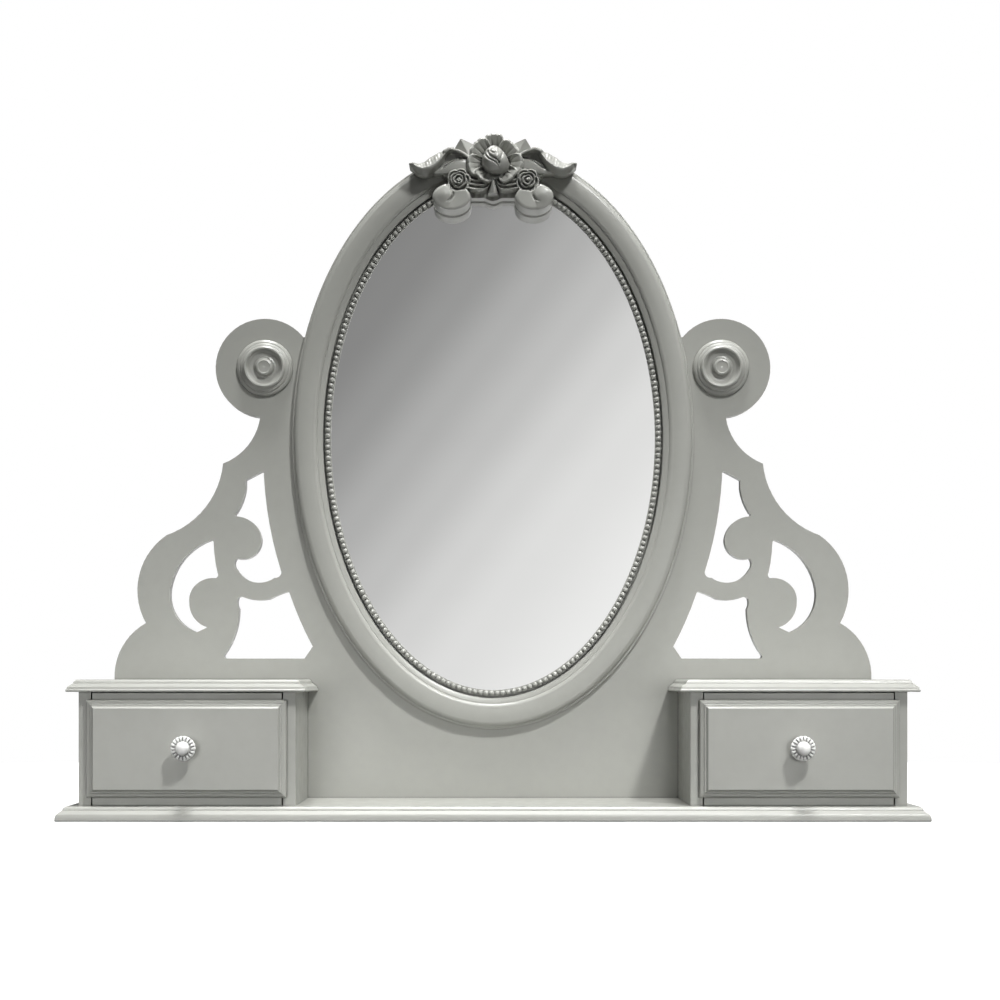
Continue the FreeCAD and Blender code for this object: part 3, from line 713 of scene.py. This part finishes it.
def pointed_leaves(relief):
    """A leaf with two flat facets that stands up behind the flower on each side."""
    x, z = relief.out, relief.z
    dx, dz = SPIKE_FOOT[0] - SPIKE_APEX[0], SPIKE_FOOT[1] - SPIKE_APEX[1]
    right, up = x - SPIKE_APEX[0], z - SPIKE_APEX[1]
    off_ridge = (right * dz - up * dx) / math.hypot(dx, dz)
    outer_edge = up < 1.52 * (SPIKE_OUTER - x) - 9.6
    inner_edge = up < 0.36 * right + 0.1
    seen = (x > SPIKE_HIDDEN[0]) & (z > SPIKE_HIDDEN[1]) & (x < SPIKE_OUTER)
    fall = np.where(off_ridge > 0, *SPIKE_FACETS) * np.abs(off_ridge)
    relief.lift(outer_edge & inner_edge & seen, SPIKE_HEIGHT - fall)


def acanthus(relief):
    """The long curling leaf on each side.

    Its inner half is a thin lip over a dark hollow; from there the blade turns over to the
    light and runs out to a rolled tip. A lower leaf comes out from under it.
    """
    x, z = relief.out, relief.z
    top, roll = curve(LEAF_TOP), curve(LEAF_ROLL)
    top_z = np.interp(x, top[:, 0], top[:, 1])
    roll_z = np.interp(x, roll[:, 0], roll[:, 1])
    ripple = np.sin(0.75 * (x - 50) + 0.2 * z) + 0.5 * np.sin(1.7 * x - 0.4 * z)

    start, end = HOLLOW_X
    hollow = (x > start) & (x < end) & (z < top_z - 0.5) & (z > HOLLOW_FOOT)
    relief.lift(hollow, HOLLOW_HEIGHT + HOLLOW_SLOPE * (x - start))
    band(relief, LOWER_LEAF, 3.0)
    band(relief, UNDER_LEAF, 4.0)
    distance, _, along = track(x, z, curve(LEAF_VEIN))
    fade = smooth_step(along, 0.02, 0.2) * (1 - smooth_step(along, 0.8, 1.0))
    relief.cut(furrow(distance, VEIN_DEPTH, VEIN_WIDTH) * fade)

    band(relief, LEAF_LIP, 1.6)
    drop = np.clip((top_z - z) / np.maximum(top_z - roll_z, 0.5), 0, 1)
    waved_top = top_z + EDGE_RIPPLE * ripple
    blade = (x > LEAF_TURN) & (x < BLADE_END) & (z < waved_top) & (z >= roll_z)
    waves = BLADE_RIPPLE * ripple * drop * (1 - drop) * (x < RIPPLES_END)
    relief.lift(blade, BLADE_HEIGHT + BLADE_RISE * drop**0.8 + waves)
    under = roll_z - z
    thick = np.interp(x, ROLL_AT, ROLL_THICKNESS)
    rolled = (x > LEAF_TURN) & (x < ROLL_END) & (under >= 0) & (under < thick)
    relief.lift(rolled, ROLL_HEIGHT - ROLL_FALL * np.clip(under / thick, 0, 1) ** 1.6)
    band(relief, LEAF_TIP, 3.0)


def scrolls(relief):
    """The two volutes: an oval block with a softened edge and a short spiral line."""
    x, z = relief.out, relief.z
    share = np.hypot((x - SCROLL[0]) / SCROLL_HALF_WIDTH, (z - SCROLL[1]) / SCROLL_HALF_HEIGHT)
    from_eye = ((x - SCROLL_EYE[0]) / EYE_SIZE[0]) ** 2 + ((z - SCROLL_EYE[1]) / EYE_SIZE[1]) ** 2
    eye = np.exp(-from_eye)
    rounded = np.sqrt(np.clip(1 - (1 - np.clip((1 - share) / SCROLL_EDGE, 0, 1)) ** 2, 0, 1))
    relief.lift(share < 1, SCROLL_BASE + SCROLL_ROUND * eye + SCROLL_ROUND * rounded)
    distance, _, along = track(x, z, curve(SPIRAL))
    inner = (x < SCROLL[0] + 0.25 * np.abs(z - 16)) & (share < 1)
    fade = 1 - smooth_step(along, 0.75, 1.0)
    hollow = SPIRAL_HOLLOW * inner * np.exp(-distance / SPIRAL_FADE)
    relief.cut((furrow(distance, VEIN_DEPTH, VEIN_WIDTH) + hollow) * fade)


def apron(relief):
    """The recessed panel between the scrolls, with two swags and a small leaf in the middle."""
    x, z = relief.out, relief.z
    leaf_end = 12.6 + 1.2 * x / 4.6
    slope = 13.8 + (x - 4.6) * 0.5
    lower = np.where(x > 9.8, 16.2, np.where(x > 4.6, slope, leaf_end))
    ripple = APRON_RIPPLE * np.sin(0.9 * relief.x)
    relief.lift((x < APRON_HALF_WIDTH) & (z > lower) & (z < 40), APRON_BASE + ripple)
    swag = curve(SWAG)
    above = z - np.interp(x, swag[:, 0], swag[:, 1])
    folds = SWAG_FOLD * np.cos(math.tau * (above - 1.2) / FOLD_PITCH)
    high = SWAG_HEIGHT + folds - 0.25 * above - turned_edge(above, SWAG_CURL, SWAG_CURL / 2)
    relief.lift((x < SWAG[-1][0]) & (above > 0) & (z < 42), high)
    width = DROP_LEAF_WIDTH * np.clip((DROP_LEAF_TOP - z) / 16.5, 0, 1) ** 0.8
    high = DROP_LEAF_HEIGHT - 0.7 * np.abs(relief.x - 0.8) - 0.1 * (z - 18)
    relief.lift((x < width) & (z > 18.4), high)


def crest():
    """The carving over the top of the mirror frame."""
    low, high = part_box("carved_crest")
    half_width = (high[0] - low[0]) / 2 / MM
    height = (high[2] - low[2]) / MM
    depth = (high[1] - low[1]) / MM
    relief = Relief(half_width, height, CREST_PITCH)
    for carve in (apron, pointed_leaves, acanthus, flower, scrolls):
        carve(relief)
    for side in (1, -1):
        small_rose(relief, side)
    heights = np.minimum(soften(relief.high, SOFTENING), depth)
    return relief_piece("carved_crest_relief", relief, heights, low, high)


def soften(heights, rounds):
    """Blurs the heights a little, without letting the outline spread or sink."""
    inside = heights > 0
    for _ in range(rounds):
        total = np.zeros_like(heights)
        count = np.zeros_like(heights)
        for dz in (-1, 0, 1):
            for dx in (-1, 0, 1):
                near = np.roll(np.roll(heights, dz, 0), dx, 1)
                here = np.roll(np.roll(inside, dz, 0), dx, 1)
                weight = 2.0 ** ((dz == 0) + (dx == 0))
                total += weight * near * here
                count += weight * here
        heights = np.where(inside, total / np.maximum(count, 1), 0.0)
    return heights


def open_edges(quads):
    """The edges that only one quad has, each in that quad's direction."""
    edges = {}
    for quad in quads:
        for a, b in zip(quad, quad[1:] + quad[:1]):
            if (b, a) in edges:
                del edges[(b, a)]
            else:
                edges[(a, b)] = True
    return np.array(list(edges))


def relief_piece(name, relief, heights, low, high):
    """A closed mesh: the carved front, a flat back, and walls whose outline is evened out."""
    inside = heights > 0
    cells = inside[:-1, :-1] & inside[1:, :-1] & inside[:-1, 1:] & inside[1:, 1:]
    rows, columns = np.nonzero(cells)
    corners = [(rows + dr, columns + dc) for dr, dc in ((0, 0), (0, 1), (1, 1), (1, 0))]
    used = np.zeros_like(inside)
    for corner in corners:
        used[corner] = True
    count = int(used.sum())
    number = -np.ones(used.shape, dtype=int)
    number[used] = np.arange(count)
    flat = np.stack([relief.x[used] * MM, relief.z[used] * MM + low[2]], axis=1)

    quads = np.stack([number[corner] for corner in corners], axis=1)
    rim = open_edges(quads.tolist())
    for _ in range(RIM_SMOOTHING):
        total = np.zeros_like(flat)
        degree = np.zeros(count)
        for a, b in ((0, 1), (1, 0)):
            np.add.at(total, rim[:, a], flat[rim[:, b]])
            np.add.at(degree, rim[:, a], 1)
        moved = degree > 0
        flat[moved] = 0.5 * flat[moved] + 0.5 * total[moved] / degree[moved][:, None]

    back_y = high[1]
    front = np.column_stack([flat[:, 0], back_y - heights[used] * MM, flat[:, 1]])
    back = np.column_stack([flat[:, 0], np.full(count, back_y), flat[:, 1]])
    verts = np.vstack([front, back]).tolist()
    faces = quads.tolist() + (quads[:, ::-1] + count).tolist()
    faces += [(b, a, a + count, b + count) for a, b in rim.tolist()]
    shape = piece(name, verts, faces, "stand", "sage_paint", "carved_crest", CREST_SHARP)
    outline = {tuple(sorted(pair)) for pair in rim.tolist()}
    for edge in shape.data.edges:
        if tuple(sorted(edge.vertices)) in outline:
            edge.use_edge_sharp = True
    return shape


# ---------------------------------------------------------------- dress the frame's own nodes
EASED_EDGE = 0.5 * MM
EASED_ANGLE = 40.0          # degrees; a blunter edge stays as it is


def dress_nodes():
    """Every node that still shows gets its slot's material, and the painted ones but the mirror
    frame eased edges.
    """
    slots = {entry["node"]: entry["material_slot"] for entry in frame["record"]["subparts"]}
    for node, shape in frame["nodes"].items():
        shape.data.materials.clear()
        shape.data.materials.append(MATERIALS[slots[node]])
        if slots[node] == "sage_paint" and node != "mirror_frame":
            rounding = shape.modifiers.new("eased_edges", "BEVEL")
            rounding.width = EASED_EDGE
            rounding.segments = 2
            rounding.limit_method = "ANGLE"
            rounding.angle_limit = math.radians(EASED_ANGLE)
            rounding.harden_normals = False


# ---------------------------------------------------------------- studio
CAMERA_DISTANCE = 2.18      # in front of the drawer cases' front edges
EYE_HEIGHT = 0.1475
LENS = 75.8
SENSOR_WIDTH = 36.0
SHIFT = (0.007, 0.178)

FLOOR_RADIUS = 1.6
FLOOR_GAP = 0.0002          # between the floor and the base board's underside
FLOOR_GLOW = 0.3

MIDDLE = (0.0, 0.0, 0.35)
# name, place, size, power, target, spread in degrees, seen in reflections
LIGHTS = [
    ("key", (1.04, -1.93, 2.67), 0.35, 4.4, (-0.05, 0.0, 0.05), 38.0, True),
    ("left_fill", (-1.5, -1.4, 2.6), 0.5, 6.0, MIDDLE, 180.0, True),
    ("right_fill", (2.0, -0.55, 2.8), 0.9, 10.0, MIDDLE, 180.0, True),
    ("overhead", (0.0, -0.6, 6.0), 1.5, 430.0, MIDDLE, 180.0, True),
    ("back_fill", (0.5, 2.6, 1.3), 1.2, 14.0, MIDDLE, 180.0, False),
    ("low_left", (-0.55, -1.5, 0.14), 0.5, 0.7, (-0.38, 0.0, 0.0), 45.0, False),
    ("low_right", (0.55, -1.5, 0.14), 0.5, 0.7, (0.38, 0.0, 0.0), 45.0, False),
]

# the wall that reflections see, from light at the lower right to dark at the upper left: place,
# brightness
WALL_STOPS = [(0.0, 0.94), (0.12, 0.90), (0.335, 0.78), (0.44, 0.69), (0.545, 0.56),
              (0.648, 0.46), (0.755, 0.335), (0.86, 0.26), (1.0, 0.225)]
WALL_SLANT = 1.3
DARK_FLOOR = grey(0.06)
DULL_ROOM = grey(0.05)      # what diffuse rays get from the backdrop
WHITE = grey(1.0)


def camera():
    """The photograph's view: straight on and low, shifted up without tilting."""
    case_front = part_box("left_case_inner_side")[0][1]
    data = bpy.data.cameras.new("camera")
    data.lens = LENS
    data.sensor_width = SENSOR_WIDTH
    data.shift_x, data.shift_y = SHIFT
    shape = bpy.data.objects.new("camera", data)
    shape.location = (0.0, case_front - CAMERA_DISTANCE, EYE_HEIGHT)
    shape.rotation_euler = (math.pi / 2, 0.0, 0.0)
    bpy.context.scene.collection.objects.link(shape)
    bpy.context.scene.camera = shape


def area_light(name, place, size, power, target, spread, seen_in_gloss):
    """A round soft light aimed at its target."""
    data = bpy.data.lights.new(name, "AREA")
    data.shape = "DISK"
    data.size = size
    data.energy = power
    data.spread = math.radians(spread)
    shape = bpy.data.objects.new(name, data)
    shape.location = place
    aim = Vector(target) - Vector(place)
    shape.rotation_euler = aim.to_track_quat("-Z", "Y").to_euler()
    shape.visible_glossy = seen_in_gloss
    bpy.context.scene.collection.objects.link(shape)


def floor():
    """A pale disc that the object stands on; it sends no light back up to it."""
    place = (0.0, 0.0, cad_low[2] - FLOOR_GAP)
    bpy.ops.mesh.primitive_circle_add(vertices=96, radius=FLOOR_RADIUS, fill_type="NGON",
                                      location=place)
    shape = bpy.context.object
    shape.name = "floor"
    material, tree, shader = new_material("pale_floor")
    patches = noise(tree, own_place(tree), scale=3.0)
    shade = tinted(tree, grey(0.86), patches, 0.3, 0.7, amount=1.0, colour=grey(0.84))
    tree.links.new(shade, shader.inputs["Base Color"])
    shader.inputs["Roughness"].default_value = 0.9
    shader.inputs["Emission Color"].default_value = WHITE
    shader.inputs["Emission Strength"].default_value = FLOOR_GLOW
    shape.data.materials.append(material)
    shape.visible_diffuse = False


def world():
    """A white backdrop; reflections see a wall, darker to the upper left, and a dark floor."""
    scene_world = bpy.data.worlds.new("studio")
    bpy.context.scene.world = scene_world
    scene_world.use_nodes = True
    tree = scene_world.node_tree
    tree.nodes.clear()
    direction = add(tree, "ShaderNodeTexCoord").outputs["Generated"]
    parts = add(tree, "ShaderNodeSeparateXYZ", {0: direction}).outputs
    facing = maths(tree, "MAXIMUM", maths(tree, "ABSOLUTE", parts[1]), 0.05)
    right = maths(tree, "DIVIDE", parts[0], facing)
    up = maths(tree, "DIVIDE", parts[2], facing)
    fall = maths(tree, "SUBTRACT", up, maths(tree, "MULTIPLY", right, WALL_SLANT))
    ramp = add(tree, "ShaderNodeValToRGB", {0: mapped(tree, fall, -0.10, 0.30, 0.0, 1.0)})
    ramp.color_ramp.interpolation = "EASE"
    while len(ramp.color_ramp.elements) < len(WALL_STOPS):
        ramp.color_ramp.elements.new(0.5)
    for element, (position, level) in zip(ramp.color_ramp.elements, WALL_STOPS):
        element.position = position
        element.color = grey(level, 0.01)
    above_floor = mapped(tree, up, -0.4, -0.1, 0.0, 1.0)
    wall = mixed(tree, above_floor, DARK_FLOOR, ramp.outputs[0])
    rays = add(tree, "ShaderNodeLightPath").outputs
    seen = mixed(tree, rays["Is Glossy Ray"], DULL_ROOM, wall)
    seen = mixed(tree, rays["Is Camera Ray"], seen, WHITE)
    background = add(tree, "ShaderNodeBackground", {"Color": seen, "Strength": 1.0})
    add(tree, "ShaderNodeOutputWorld", {"Surface": background.outputs[0]})


def studio():
    camera()
    floor()
    world()
    for light in LIGHTS:
        area_light(*light)
    bpy.context.scene.view_settings.view_transform = "Standard"


studio()
dress_nodes()
beading()
for side_name in SIDES:
    knob(side_name)
crest()
